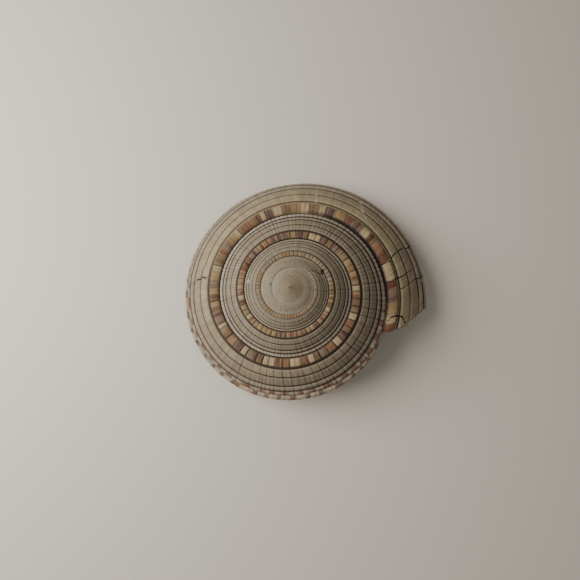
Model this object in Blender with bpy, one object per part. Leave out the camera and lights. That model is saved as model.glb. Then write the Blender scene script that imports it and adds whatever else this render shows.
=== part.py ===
# A sundial shell: one hollow shell, grown by one spiral rule from its apex to its lip.
# Lengths are in metres and +Z is up. The shell lies as it rests, apex up, with the mouth on the right.
import math

import bmesh
import bpy
from mathutils import Matrix, Vector

MM = 0.001

# The growth rule: where the seam between two whorls lies, by turn (lip end at turn 1.07).
SEAM_RADIUS = 11.02 * MM
GROWTH_PER_TURN = 0.4873
SLOWING = 0.0258
SLOWING_FROM_TURN = 0.8504
CONE_DEPTH = 6.061 * MM
CONE_CURVE = 1.211
NARROWER = 0.012
NARROW_DIRECTION = math.radians(62.7)

# Stations along the spiral: 72 to a turn, counted from the right-hand side of the photo.
PER_TURN = 72
LIP_STATION = 77
FIRST_STATION = -320
CAVITY_END = -30
UMBILICUS_TOP = -216
LIP_SLANT = 4

# Upper side of a whorl, from its inner seam to the keel: share of the width, share of the drop, relief.
UPPER = [
    (0.000, 0.000, 0.000),
    (0.050, 0.006, 0.046),
    (0.222, 0.038, 0.040),
    (0.263, 0.050, -0.008),
    (0.300, 0.085, 0.020),
    (0.468, 0.262, 0.020),
    (0.504, 0.300, -0.010),
    (0.542, 0.355, 0.018),
    (0.690, 0.580, 0.018),
    (0.723, 0.630, -0.008),
    (0.787, 0.725, 0.022),
    (0.850, 0.820, -0.006),
    (0.925, 0.915, 0.026),
    (1.000, 1.000, 0.000),
]
# The two outermost rows sit closer in on the last whorl, where no later whorl covers the keel.
LATE_ROWS = {12: (0.886, 0.880, 0.020), 13: (0.932, 0.985, 0.000)}
LATE_FROM, LATE_BY = 8, 16
# Lower side, from the keel to the inner edge of the base, as shares of the keel's radius.
BASE = [
    (1.000, 0.000),
    (1.000, 0.045),
    (0.985, 0.072),
    (0.900, 0.090),
    (0.750, 0.104),
    (0.550, 0.106),
    (0.400, 0.096),
    (0.345, 0.082),
]
# How far the keel cord reaches beyond its regular place, by turn, as a share of its radius.
KEEL_REACH = [
    (-0.03, 0.000),
    (0.11, 0.052),
    (0.19, 0.056),
    (0.33, 0.036),
    (0.50, 0.014),
    (0.64, 0.002),
    (0.75, -0.016),
    (1.10, -0.020),
]
# Wall of the umbilicus, from the beaded margin up to the whorl before.
MARGIN = (0.300, 0.092)
WALL = [(0.264, 0.005), (0.238, -0.105)]
BEAD_OUT = 0.010
BEAD_DOWN = 0.010
# Inside of the whorl's hollow: the same kind of shares, set in by the wall's thickness.
WALL_THICKNESS = 0.085
INSIDE_UPPER = [(0.222, 0.038), (0.468, 0.262), (0.723, 0.630), (0.870, 0.850)]
INSIDE_LOWER = [
    (0.955, 0.022),
    (0.928, 0.048),
    (0.750, 0.064),
    (0.550, 0.066),
    (0.400, 0.058),
    (0.345, 0.040),
    (0.304, 0.000),
    (0.274, -0.102),
]
# Where the hollow's inner edges meet the whorl before it, as rows of the base.
GROOVE_ROW = 2
CORD_ROW = 6

# The lean at which the shell comes to rest, and the level that its lowest points are worn down to.
LEAN_ABOUT_X = math.radians(-2.254)
LEAN_ABOUT_Y = math.radians(-9.505)
WORN = 0.35 * MM

KEEL = len(UPPER) - 1
SEAM = len(BASE) - 1
WALL_TOP = 1 + len(WALL) + 1
INSIDE = 1 + len(INSIDE_UPPER) + len(INSIDE_LOWER)


def seam(turn):
    """Radius and depth below the apex of the seam at a turn."""
    slow = max(0.0, turn - SLOWING_FROM_TURN)
    radius = SEAM_RADIUS * math.exp(GROWTH_PER_TURN * turn - SLOWING * slow * slow)
    return radius, CONE_DEPTH * (radius / SEAM_RADIUS) ** CONE_CURVE


def upper_point(turn, share, drop, relief):
    """A point on the upper side, set out from the whorl's slope by its relief."""
    r0, z0 = seam(turn)
    r1, z1 = seam(turn + 1)
    width, height = r1 - r0, z1 - z0
    return r0 + share * width + relief * height, z0 + drop * height - relief * width


def between(table, x):
    """Straight-line value of a table of pairs at x, held at its ends."""
    if x <= table[0][0]:
        return table[0][1]
    for (x0, y0), (x1, y1) in zip(table, table[1:]):
        if x <= x1:
            return y0 + (y1 - y0) * (x - x0) / (x1 - x0)
    return table[-1][1]


def lower_point(turn, share, drop):
    """A point on the lower side, by the size of the keel at that turn."""
    r1, z1 = seam(turn + 1)
    reach = between(KEEL_REACH, turn) * max(0.0, share - 0.5) / 0.5
    return r1 * (share + reach), z1 + r1 * drop


def slant(share):
    """How far a growth line trails, in stations, at a share of the upper side's width."""
    return -LIP_SLANT * share ** 1.1


def place(radius, depth, station):
    """The point at a radius and depth, at an angle given in stations."""
    angle = -math.tau * station / PER_TURN
    x, y = radius * math.cos(angle), radius * math.sin(angle)
    c, s = math.cos(NARROW_DIRECTION), -math.sin(NARROW_DIRECTION)
    along, across = x * c + y * s, -x * s + y * c
    along, across = along * (1 - NARROWER), across * (1 + NARROWER)
    return Vector((along * c - across * s, along * s + across * c, -depth))


def base_lag(row):
    """How far the growth line trails on the base: it comes forward again towards the umbilicus."""
    return -LIP_SLANT + row / SEAM


def upper_vertex(row, k):
    share, drop, relief = UPPER[row]
    station = k + slant(share)
    if row in LATE_ROWS:
        late = min(1.0, max(0.0, (k - LATE_FROM) / (LATE_BY - LATE_FROM)))
        share, drop, relief = (a + (b - a) * late for a, b in zip(UPPER[row], LATE_ROWS[row]))
    return place(*upper_point(station / PER_TURN, share, drop, relief), station)


def base_vertex(row, k):
    if row == 0:
        return upper_vertex(KEEL, k)
    station = k + base_lag(row)
    return place(*lower_point(station / PER_TURN, *BASE[row]), station)


def wall_vertex(row, k):
    station = k + base_lag(SEAM)
    if row == 1:
        sign = 1 if k % 2 else -1
        share, drop = MARGIN[0] - sign * BEAD_OUT, MARGIN[1] + sign * BEAD_DOWN
    else:
        share, drop = WALL[row - 2]
    return place(*lower_point(station / PER_TURN, share, drop), station)


def inside_vertex(row, k):
    if row <= len(INSIDE_UPPER):
        share, drop = INSIDE_UPPER[row - 1]
        station = k + slant(share)
        return place(*upper_point(station / PER_TURN, share, drop, -WALL_THICKNESS), station)
    share, drop = INSIDE_LOWER[row - 1 - len(INSIDE_UPPER)]
    lag = -LIP_SLANT + min(1.0, (row - len(INSIDE_UPPER) - 1) / (len(INSIDE_LOWER) - 3))
    return place(*lower_point((k + lag) / PER_TURN, share, drop), k + lag)


MAKERS = {"upper": upper_vertex, "base": base_vertex, "wall": wall_vertex, "inside": inside_vertex}


def spacing(k):
    """Fewer stations on the small inner whorls."""
    if k >= LIP_STATION - 2 * PER_TURN - 6:
        return 1
    if k >= LIP_STATION - 4 * PER_TURN:
        return 2
    return 4


def upper_rows(k):
    """Fewer rows of relief on the small inner whorls."""
    if k >= LIP_STATION - PER_TURN:
        return list(range(KEEL + 1))
    if k >= LIP_STATION - 2 * PER_TURN - 6:
        return [0, 1, 2, 3, 4, 5, 6, 7, 8, 9, 11, 13]
    if k >= LIP_STATION - 3 * PER_TURN:
        return [0, 1, 2, 3, 6, 9, 13]
    if k >= LIP_STATION - 4 * PER_TURN:
        return [0, 2, 3, 6, 13]
    return [0, 3, 13]


def inside_rows(k):
    """Every row of the hollow at the lip, and fewer deep inside."""
    if k >= LIP_STATION - 9:
        return list(range(INSIDE + 1))
    return [0, 2, 3, 4, 6, 8, 10, 12, INSIDE]


def base_rows(k):
    """Every row of the base outside, and fewer where it is the hollow's inner side."""
    if k >= LIP_STATION - PER_TURN - 9:
        return list(range(SEAM + 1))
    return [0, 1, GROOVE_ROW, 4, CORD_ROW, SEAM]


def snapped(k, step):
    return k - k % step


def even(k, full_from):
    return k if k >= full_from else snapped(k, 2)


ROWS = {"upper": upper_rows, "base": base_rows, "inside": inside_rows}


def kept(kind, row, k):
    return max(r for r in ROWS[kind](k) if r <= row)


def key(kind, row, k):
    """The one vertex that a grid place stands for, where whorls are joined or rows are thinned."""
    if kind == "upper":
        if row == KEEL:
            if k + PER_TURN - LIP_SLANT > LIP_STATION:
                return ("base", 0, k)
            return key("upper", 0, k + PER_TURN - LIP_SLANT)
        k = snapped(k, spacing(k))
        return ("upper", kept("upper", row, k), k)
    if kind == "base":
        if row == 0:
            return key("upper", KEEL, k)
        if row == SEAM:
            return ("base", SEAM, snapped(k, spacing(k)))
        k = even(k, LIP_STATION - PER_TURN - 9)
        return ("base", kept("base", row, k), k)
    if kind == "wall":
        if row == 0:
            return key("base", SEAM, k)
        if row == WALL_TOP:
            return key("base", SEAM, k - PER_TURN)
        return ("wall", row, snapped(k, spacing(k)))
    if row == 0:
        return key("base", GROOVE_ROW, k - PER_TURN + LIP_SLANT)
    if row == INSIDE:
        return key("base", CORD_ROW, k - PER_TURN)
    k = even(k, LIP_STATION - 9)
    return ("inside", kept("inside", row, k), k)


class Builder:
    """Collects faces by grid places and makes each vertex once."""

    def __init__(self):
        self.bm = bmesh.new()
        self.made = {}

    def vertex(self, name):
        if name not in self.made:
            kind, row, k = name
            self.made[name] = self.bm.verts.new(MAKERS[kind](row, k))
        return self.made[name]

    def face(self, places):
        corners = []
        for spot in places:
            vert = spot if isinstance(spot, bmesh.types.BMVert) else self.vertex(key(*spot))
            if vert not in corners:
                corners.append(vert)
        if len(corners) > 2:
            self.bm.faces.new(corners)

    def strip(self, kind, first, last, stations):
        """Faces between two rows; where more rows begin, their ends join the last faces."""
        for k in stations:
            rows, next_rows = range(first, last + 1), range(first, last + 1)
            if kind in ROWS:
                rows = [row for row in ROWS[kind](key(kind, last - 1, k)[2]) if first <= row <= last]
                next_rows = [row for row in ROWS[kind](key(kind, last - 1, k + 1)[2]) if first <= row <= last]
            for low, high in zip(rows, rows[1:]):
                far_side = [(kind, row, k + 1) for row in next_rows if low <= row <= high]
                self.face([(kind, low, k)] + far_side + [(kind, high, k)])

    def fan(self, ring, centre):
        verts = []
        for spot in ring:
            vert = self.vertex(key(*spot))
            if vert not in verts:
                verts.append(vert)
        hub = self.bm.verts.new(centre)
        for a, b in zip(verts, verts[1:] + verts[:1]):
            self.bm.faces.new([a, b, hub])


def spire(b):
    """The upper side of every whorl, and the smooth first shell in the middle."""
    b.strip("upper", 0, KEEL, range(FIRST_STATION, LIP_STATION))
    ring = [("upper", 0, k) for k in range(FIRST_STATION, FIRST_STATION + PER_TURN - LIP_SLANT)]
    ring += [("upper", row, FIRST_STATION) for row in range(KEEL, 0, -1)]
    b.fan(ring, place(0.0, 0.0, 0))


def base(b):
    """The lower side of the last whorl; its start is also the hollow's inner side."""
    start = LIP_STATION - PER_TURN
    b.strip("base", 0, GROOVE_ROW, range(start + LIP_SLANT, LIP_STATION))
    b.strip("base", GROOVE_ROW, CORD_ROW, range(CAVITY_END - PER_TURN, LIP_STATION))
    b.strip("base", CORD_ROW, SEAM, range(start, LIP_STATION))


def umbilicus(b):
    """The open middle of the base, with the margin's beads on every whorl up to the top."""
    b.strip("wall", 0, WALL_TOP, range(UMBILICUS_TOP, LIP_STATION))
    ring = [("base", SEAM, k) for k in range(UMBILICUS_TOP - PER_TURN, UMBILICUS_TOP + 1)]
    ring += [("wall", row, UMBILICUS_TOP) for row in range(1, WALL_TOP)]
    r, z = lower_point((UMBILICUS_TOP - PER_TURN) / PER_TURN, 0.3, 0.1)
    b.fan(ring, place(0.0, z, 0))


def hollow(b):
    """The inside of the last whorl, from its blind end to the lip."""
    b.strip("inside", 0, INSIDE, range(CAVITY_END, LIP_STATION))
    ring = [("inside", row, CAVITY_END) for row in inside_rows(CAVITY_END)]
    first = CAVITY_END - PER_TURN
    ring += [("base", row, first) for row in range(CORD_ROW - 1, GROOVE_ROW - 1, -1)]
    ring += [("base", GROOVE_ROW, k) for k in range(first + 1, first + LIP_SLANT)]
    station = CAVITY_END - LIP_SLANT / 2
    r, z = lower_point(station / PER_TURN, 0.62, -0.06)
    b.fan(ring, place(r, z, station))


def lip(b):
    """The thin edge of the mouth, between the outer and the inner side."""
    k = LIP_STATION
    outer = [("upper", row, k) for row in range(0, KEEL + 1)]
    outer += [("base", row, k) for row in range(1, SEAM + 1)]
    outer += [("wall", row, k) for row in range(1, WALL_TOP + 1)]
    partner = [0, 2, 5, 9, 12, 13, 15, 17, 18, 19, 20, 22, 23, 24]
    seam_end = k - PER_TURN + LIP_SLANT
    first = [outer[0], outer[1], outer[2], ("inside", 1, k), ("inside", 0, k), ("base", 1, seam_end)]
    b.face(first)
    for row in range(1, INSIDE - 1):
        span = outer[partner[row]:partner[row + 1] + 1]
        b.face(span + [("inside", row + 1, k), ("inside", row, k)])
    b.face([outer[23], outer[24], ("inside", INSIDE, k), ("inside", INSIDE - 1, k)])


def shell():
    """Builds the closed shell, lays it down as it rests and centres it over its lowest point."""
    b = Builder()
    spire(b)
    base(b)
    umbilicus(b)
    hollow(b)
    lip(b)
    bm = b.bm
    rest = Matrix.Rotation(LEAN_ABOUT_X, 4, "X") @ Matrix.Rotation(LEAN_ABOUT_Y, 4, "Y")
    bmesh.ops.transform(bm, matrix=rest, verts=bm.verts)
    xs = [v.co.x for v in bm.verts]
    ys = [v.co.y for v in bm.verts]
    low = min(v.co.z for v in bm.verts)
    shift = Vector((-(min(xs) + max(xs)) / 2, -(min(ys) + max(ys)) / 2, -low - WORN))
    bmesh.ops.translate(bm, vec=shift, verts=bm.verts)
    for v in bm.verts:
        v.co.z = max(0.0, v.co.z)
    bmesh.ops.triangulate(bm, faces=bm.faces)
    bmesh.ops.recalc_face_normals(bm, faces=bm.faces)
    mesh = bpy.data.meshes.new("shell")
    bm.to_mesh(mesh)
    bm.free()
    return mesh


for old in list(bpy.data.objects):
    bpy.data.objects.remove(old, do_unlink=True)
part = bpy.data.objects.new("shell", shell())
bpy.context.scene.collection.objects.link(part)
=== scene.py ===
# %% [markdown]
# # A sundial shell
#
# The real thing is an empty sea snail shell about 50 mm across, lying on a pale table with its
# spire up. One animal made it, so it is one piece: a tube that winds round a cone and gets wider
# as it goes. This lesson rebuilds it as one mesh and gives it one finish.

# %% The frame
import math

import bmesh
import bpy
import numpy as np
from mathutils import Matrix, Vector


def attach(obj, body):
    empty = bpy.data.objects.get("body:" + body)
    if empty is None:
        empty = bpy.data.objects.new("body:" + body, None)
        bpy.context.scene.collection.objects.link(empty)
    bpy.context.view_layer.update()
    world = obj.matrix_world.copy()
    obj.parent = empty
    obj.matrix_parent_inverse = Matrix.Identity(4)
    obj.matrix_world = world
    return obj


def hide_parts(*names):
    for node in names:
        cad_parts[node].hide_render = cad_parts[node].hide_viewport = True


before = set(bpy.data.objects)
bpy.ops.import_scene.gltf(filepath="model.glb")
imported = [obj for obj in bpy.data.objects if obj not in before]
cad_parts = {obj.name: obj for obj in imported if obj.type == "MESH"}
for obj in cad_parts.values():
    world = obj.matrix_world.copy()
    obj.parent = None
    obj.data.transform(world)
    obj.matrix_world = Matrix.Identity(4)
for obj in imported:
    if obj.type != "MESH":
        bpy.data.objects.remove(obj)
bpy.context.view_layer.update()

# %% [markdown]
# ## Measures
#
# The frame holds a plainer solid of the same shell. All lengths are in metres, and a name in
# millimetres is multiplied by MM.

MM = 0.001

# %% [markdown]
# ## The growth rule
#
# A snail adds shell at its lip and keeps the same proportions, so the seam between two whorls is
# a spiral whose radius grows by the same share each turn. It could be drawn with the Screw
# modifier, but that keeps one size all the way. A formula is easier: the radius is an
# exponential of the turn, and the cone's depth is a power of the radius.

# %% The growth rule
SEAM_RADIUS = 11.02 * MM
GROWTH_PER_TURN = 0.4873
# Towards the lip the growth slows a little.
SLOWING = 0.0258
SLOWING_FROM_TURN = 0.8504
# Depth of the seam below the apex at SEAM_RADIUS, and the power it follows.
CONE_DEPTH = 6.061 * MM
CONE_CURVE = 1.211


def seam(turn):
    """Radius, and depth below the apex, of the seam between whorls at a turn."""
    slow = np.maximum(0.0, turn - SLOWING_FROM_TURN)
    radius = SEAM_RADIUS * np.exp(GROWTH_PER_TURN * turn - SLOWING * slow**2)
    return radius, CONE_DEPTH * (radius / SEAM_RADIUS) ** CONE_CURVE


for whole in (-2, -1, 0, 1):
    print("seam at turn", whole, "is", round(float(seam(whole)[0]) / MM, 2), "mm out")

# %% [markdown]
# ## From the section to space
#
# Growth is counted in stations, 72 to a turn, the same as in the frame's solid. A point on the
# shell is given by its station and by where it sits in the whorl's section. The upper side is
# measured from seam to seam, and the lower side in shares of the keel's radius. The shell is
# slightly narrower one way, and it lies tipped on its wide last whorl, worn level where it rests.

# %% From the section to space
PER_TURN = 72
LIP_STATION = 77
LIP_SLANT = 4
EARLY_SLANT = 0.6
SLANT_FROM = 58
NARROWER = 0.012
NARROW_DIRECTION = math.radians(62.7)
LEAN_ABOUT_X = math.radians(-2.254)
LEAN_ABOUT_Y = math.radians(-9.505)
APEX = Vector((-5.318, -1.286, 20.187)) * MM
REST = Matrix.Rotation(LEAN_ABOUT_X, 4, "X") @ Matrix.Rotation(LEAN_ABOUT_Y, 4, "Y")
# How much further out than the spiral the keel reaches at some turns, as a share of its radius.
KEEL_REACH_TURNS = [-0.03, 0.11, 0.19, 0.33, 0.50, 0.64, 0.75, 1.10]
KEEL_REACH = [0.000, 0.052, 0.056, 0.036, 0.014, 0.002, -0.016, -0.020]


def ramp(value, start, end):
    """0 before start, 1 after end, and a smooth rise between them."""
    t = np.clip((value - start) / (end - start), 0, 1)
    return t * t * (3 - 2 * t)


def upper_point(turn, share, drop, relief):
    """Radius and depth on the upper side, set out from the whorl's slope by its relief."""
    r0, z0 = seam(turn)
    r1, z1 = seam(turn + 1)
    width, height = r1 - r0, z1 - z0
    return r0 + share * width + relief * height, z0 + drop * height - relief * width


def lower_point(turn, share, drop):
    """Radius and depth on the lower side, by the keel's radius at that turn."""
    r1, z1 = seam(turn + 1)
    reach = np.interp(turn, KEEL_REACH_TURNS, KEEL_REACH) * np.maximum(0.0, share - 0.5) / 0.5
    return r1 * (share + reach), z1 + r1 * drop


def settled(radius, depth, station):
    """World places of points at a radius and depth, at an angle given in stations."""
    angle = -math.tau * station / PER_TURN
    x, y = radius * np.cos(angle), radius * np.sin(angle)
    cosine, sine = math.cos(NARROW_DIRECTION), -math.sin(NARROW_DIRECTION)
    along = (x * cosine + y * sine) * (1 - NARROWER)
    across = (-x * sine + y * cosine) * (1 + NARROWER)
    turned_x, turned_y = along * cosine - across * sine, along * sine + across * cosine
    flat = np.stack([turned_x, turned_y, -depth], axis=-1)
    world = flat @ np.array(REST.to_3x3()).T + np.array(APEX)
    world[..., 2] = np.maximum(world[..., 2], 0.0)
    return world


print("apex at", [round(x / MM, 1) for x in APEX], "mm")

# %% [markdown]
# ## Beads
#
# The growth lines cut the cords into small beads, about 116 to a turn, never quite even. The broad
# band by the seam has half as many, so a bead there is a pair of small ones. On the last whorl its
# colours were read off the photograph, as the degree of growth where each block of colour starts,
# and a block holds one or more pairs. The lines are laid out once, with seeded randomness, and the
# mesh then gets its columns from them, so that every gap is crisp with few faces.

# %% Beads
BEADS_PER_TURN = 116
BEAD_UNEVEN = 0.20
FIRST_TURN = -8.0
PAIR_DEGREES = 6.0
LAST_BLOCK_DEGREES = 12
SPARE_TURNS = 0.2
ORANGE, BROWN, RED, MAUVE, OCHRE, CREAM = range(6)
# Degree of growth where each block starts, and its colour.
BLOCKS = [
    (20.5, CREAM), (26.8, ORANGE), (33, BROWN), (38.5, MAUVE), (45, CREAM), (51.9, ORANGE), (59, MAUVE),
    (66.3, BROWN), (71.6, CREAM), (76.8, RED), (83, CREAM), (91.3, ORANGE), (96.5, RED), (103, CREAM),
    (112.4, BROWN), (117.7, MAUVE), (126, CREAM), (131.4, MAUVE), (137.5, OCHRE), (144, BROWN),
    (153, CREAM), (157, MAUVE), (163, BROWN), (169.4, OCHRE), (173.5, BROWN), (179.5, OCHRE),
    (183.7, MAUVE), (189, OCHRE), (197, CREAM), (201, BROWN), (208, ORANGE), (214, MAUVE), (219.5, OCHRE),
    (226, CREAM), (230, RED), (236, ORANGE), (242.5, BROWN), (248, CREAM), (251, MAUVE), (257, CREAM),
    (262.5, BROWN), (269.5, OCHRE), (275, CREAM), (281, BROWN), (287.5, CREAM), (291.5, MAUVE),
    (298, OCHRE), (304.5, RED), (311.5, MAUVE), (318, CREAM), (323.5, BROWN), (330, ORANGE), (336.5, RED),
    (343.5, CREAM), (355.5, RED), (362.5, MAUVE), (369, OCHRE), (376, CREAM), (381, RED), (386, CREAM),
]
rng = np.random.default_rng(11)

block_starts = np.array([start for start, _ in BLOCKS]) / 360
block_ends = np.append(block_starts[1:], (BLOCKS[-1][0] + LAST_BLOCK_DEGREES) / 360)
early_count = 2 * round((block_starts[0] - FIRST_TURN + SPARE_TURNS) * BEADS_PER_TURN / 2)
edges = [block_starts[0] - np.arange(early_count, 0, -1) / BEADS_PER_TURN]
for start, end in zip(block_starts, block_ends):
    pairs = max(1, round((end - start) * 360 / PAIR_DEGREES))
    edges.append(np.linspace(start, end, 2 * pairs, endpoint=False))
bead_edges = np.concatenate(edges)
bead_count = len(bead_edges)
bead_edges += rng.uniform(-BEAD_UNEVEN, BEAD_UNEVEN, bead_count) / BEADS_PER_TURN
bead_strength = rng.uniform(0.65, 1.0, bead_count)
bead_tone = rng.uniform(0.0, 1.0, bead_count)
bead_pick = rng.uniform(0.0, 1.0, bead_count)
print(bead_count, "beads from the first whorl to the lip")

# %% [markdown]
# Two questions come back often: which bead a place is on, and how near it is to a gap.

# %% Gaps between beads
# Columns nearer than this to the first or last one are left out, in turns.
CLEARANCE = 0.0008


def bead_number(turn):
    """Which bead a growth line is on."""
    return np.clip(np.searchsorted(bead_edges, turn, side="right") - 1, 0, bead_count - 2)


def gap_nearness(turn, width, odd=1.0):
    """1 in the gap between two beads and 0 away from it; odd is the strength of every second gap."""
    number = bead_number(turn)
    start, end = bead_edges[number], bead_edges[number + 1]
    share = (turn - start) / (end - start)
    nearest = np.where(share < 0.5, number, number + 1)
    strength = bead_strength[nearest] * np.where(nearest % 2 == 0, 1.0, odd)
    return strength * np.exp(-((np.minimum(share, 1 - share) / width) ** 2))


def stations(start, end, shares, every=1):
    """Columns of the mesh between two stations, with the given places in each bead or few beads."""
    edges = bead_edges[::every]
    turns = (edges[:-1, None] + np.diff(edges)[:, None] * np.array(shares)).ravel()
    inner = turns[(turns > start / PER_TURN + CLEARANCE) & (turns < end / PER_TURN - CLEARANCE)]
    return np.concatenate([[start], inner * PER_TURN, [end]])


print("last whorl's first bead is number", int(bead_number(0.0)))

# %% [markdown]
# ## The upper side of a whorl
#
# From the seam outwards a whorl carries a strong beaded band, a double groove, two broad flat
# bands, and cords near the keel, with thin grooves between them. Each band is a rounded step in
# a table, and every groove is a low row between two of them.

# %% The upper side of a whorl
# The slope: share of the way from seam to seam, and share of the drop reached there.
SLOPE = np.array([
    (0.000, 0.000), (0.050, 0.006), (0.222, 0.038), (0.263, 0.050), (0.300, 0.085),
    (0.468, 0.262), (0.504, 0.300), (0.542, 0.355), (0.690, 0.580), (0.723, 0.630),
    (0.787, 0.725), (0.850, 0.820), (0.925, 0.915), (1.000, 1.000),
])
DROP_SHARES, DROPS = SLOPE.T
# Between two stations the outer part of the slope changes to this one, which is steeper.
LATE_SHARES = [0.850, 0.886, 0.932]
LATE_DROPS = [0.820, 0.880, 0.985]
LATE_FROM, LATE_BY = 8, 16
# Where the second cord starts, and its width before the last whorl and on it.
CORD_FROM = 0.85
CORD_BEFORE, CORD_LATE = 0.150, 0.082
GROOVE = -1
BEADED, OLIVE, FIRST_BAND, SECOND_BAND, FIRST_CORD, SECOND_CORD = range(6)
# Inner edge, outer edge, height, squareness and number of rows of each band.
BANDS = [
    (0.020, 0.228, 0.042, 3.0, 8),
    (0.242, 0.280, -0.008, 4.0, 2),
    (0.300, 0.492, 0.018, 6.0, 7),
    (0.517, 0.710, 0.016, 6.0, 7),
    (0.737, 0.838, 0.022, 3.0, 6),
    (0.863, 0.926, 0.024, 2.4, 5),
]
LAST_GROOVE = 0.950
GROOVE_DEPTH = 0.016
BAND_MARGIN = 0.12
# Share and drop of the row tucked under the whorl before, share and relief of the next one.
TUCKED = (-0.020, 0.090)
BESIDE_SEAM = (0.002, -0.012)
# Share of the keel's extra reach that the outer bands follow.
FOLLOW_SHARES = [0.50, 0.72, 0.85, 0.93]
FOLLOW = [0.0, 0.12, 0.22, 0.55]


def upper_rows():
    """Band, place across the band, share and relief of every row, with more rows near edges."""
    rows = [(GROOVE, 0.5, TUCKED[0], 0.0), (GROOVE, 0.5, *BESIDE_SEAM)]
    for number, (low, high, height, square, count) in enumerate(BANDS):
        for x in 0.5 - 0.5 * np.cos(math.pi * np.linspace(BAND_MARGIN, 1 - BAND_MARGIN, count)):
            crown = (1 - abs(2 * x - 1) ** square) ** 0.5
            rows.append((number, x, low + x * (high - low), height * crown))
        after = BANDS[number + 1][0] if number + 1 < len(BANDS) else LAST_GROOVE
        rows.append((GROOVE, 0.5, (high + after) / 2, -GROOVE_DEPTH))
    return np.array(rows)


UPPER = upper_rows()
print(len(UPPER), "rows on the upper side")

# %% [markdown]
# The gaps and cuts are deepest on the lower right of the last whorl and on the second whorl.
# Towards the lip they fade, and the first small whorls are smooth. Where the last whorl ends,
# the seam beside it is a deep channel.

# %% Strength of the relief by turn
RELIEF_TURNS = [-3.8, -2.7, -2.1]
RELIEF_STRENGTH = [0.0, 0.4, 1.0]
LINE_TURNS = [-4.4, -4.0, -2.7, -2.0, -0.2, 0.1]
LINE_STRENGTH = [0.0, 0.15, 0.5, 0.9, 1.2, 0.95]
BEAD_TURNS = [-3.6, -2.6, -1.0, 0.02, 0.38, 0.52, 0.80, 1.07]
BEAD_STRENGTH = [0.0, 0.8, 1.0, 1.0, 1.0, 0.75, 0.60, 0.40]
CUT_TURNS = [-3.2, -2.4, -1.0, -0.1, 0.05, 0.34, 0.50, 1.07]
CUT_STRENGTH = [0.0, 0.9, 0.8, 0.8, 1.0, 0.8, 0.15, 0.05]
# Strength of every second gap against the others, by turn and band.
ODD_LEAST, ODD_MORE = 0.12, 0.60
ODD_UNTIL = (-2.4, -2.0)
ODD_AGAIN = (0.38, 0.56)
FIRST_BAND_ODD = (0.7, 0.1)
OUTER_ODD = 0.8
SECOND_WHORL_ENDS = (-0.06, 0.06)
BEAD_GAP_WIDTH = 0.17
CUT_WIDTH = 0.15
# Depths in shares of the whorl's width, and that of a bead's gap in shares of its height.
CUT_DEPTH = 0.011
CORD_CUT_DEPTH = 0.020
BEAD_GAP_DEPTH = 0.75
# The whorls round the apex are worn smooth.
SMOOTH_TURNS = (-3.6, -2.2)
CHANNEL_TURNS = [0.70, 0.90, 1.07]
CHANNEL_DEPTH = [0.0, 0.070, 0.100]
CHANNEL_WIDTH = 0.09


def gap_strength(turn, band):
    """Strength of the gaps between beads and of the cuts across the other bands."""
    small = 1 - ramp(turn, *SECOND_WHORL_ENDS)
    odd = np.maximum(1 - ramp(turn, *ODD_UNTIL), ODD_LEAST + ODD_MORE * ramp(turn, *ODD_AGAIN))
    cut_strength = np.interp(turn, CUT_TURNS, CUT_STRENGTH)
    beads = gap_nearness(turn, BEAD_GAP_WIDTH, odd) * np.interp(turn, BEAD_TURNS, BEAD_STRENGTH)
    cuts = gap_nearness(turn, CUT_WIDTH, FIRST_BAND_ODD[0] * small + FIRST_BAND_ODD[1]) * cut_strength
    fine_cuts = gap_nearness(turn, CUT_WIDTH, OUTER_ODD) * cut_strength
    gap = np.where(band >= SECOND_BAND, fine_cuts, 0)
    return np.where(band == FIRST_BAND, cuts, np.where(band == BEADED, beads, gap))


print("beads keep", BEAD_STRENGTH[-1], "of their relief at the lip")

# %% [markdown]
# The growth lines don't run straight out from the seam. They trail behind towards the keel, and
# most so at the lip, where they also make a small step. After the old break on the left, the middle
# grooves run a little further in for a while.

# %% Lines of growth and the slope
LIP_STEP = 0.35
LIP_STEP_SHARES = (0.47, 0.52)
LIP_STEP_STATIONS = 3
LAG_CURVE = 1.1
BREAK_TURN = 0.552
BREAK_SHIFT = -0.045
BREAK_FADES = 0.09
BREAK_MIDDLE, BREAK_WIDTH = 0.5, 0.14
BREAK_DROP = 1.1


def lean(k):
    """How far the growth lines trail by the keel, in stations: little, until they near the lip."""
    return EARLY_SLANT + (LIP_SLANT - EARLY_SLANT) * ramp(k, SLANT_FROM, LIP_STATION)


def growth_lag(share, k):
    """How far a growth line trails on the upper side, in stations."""
    stepped = ramp(share, *LIP_STEP_SHARES) * ramp(k, LIP_STATION - LIP_STEP_STATIONS, LIP_STATION)
    return -lean(k) * np.clip(share, 0, 1) ** LAG_CURVE - LIP_STEP * stepped


def slope(share, k):
    """Share and drop where the rows of a station lie, with the broad second cord and the break."""
    turn = k / PER_TURN
    late = np.clip((k - LATE_FROM) / (LATE_BY - LATE_FROM), 0, 1)
    broader = CORD_FROM + (share - CORD_FROM) * CORD_BEFORE / CORD_LATE
    wide = np.where(share > CORD_FROM, broader, share)
    drop = np.interp(wide, DROP_SHARES, DROPS) + np.where(share < 0, TUCKED[1], 0)
    late_drop = np.where(share > CORD_FROM, np.interp(share, LATE_SHARES, LATE_DROPS), drop)
    share_here = wide + (share - wide) * late
    drop_here = drop + (late_drop - drop) * late
    since = np.maximum(0, turn - BREAK_TURN)
    middle = np.exp(-(((share - BREAK_MIDDLE) / BREAK_WIDTH) ** 4))
    shift = np.where(turn > BREAK_TURN, BREAK_SHIFT * np.exp(-since / BREAK_FADES), 0) * middle
    drop_here = drop_here + shift * BREAK_DROP
    return share_here + shift, share + (drop_here - share) * ramp(turn, *SMOOTH_TURNS)


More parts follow.
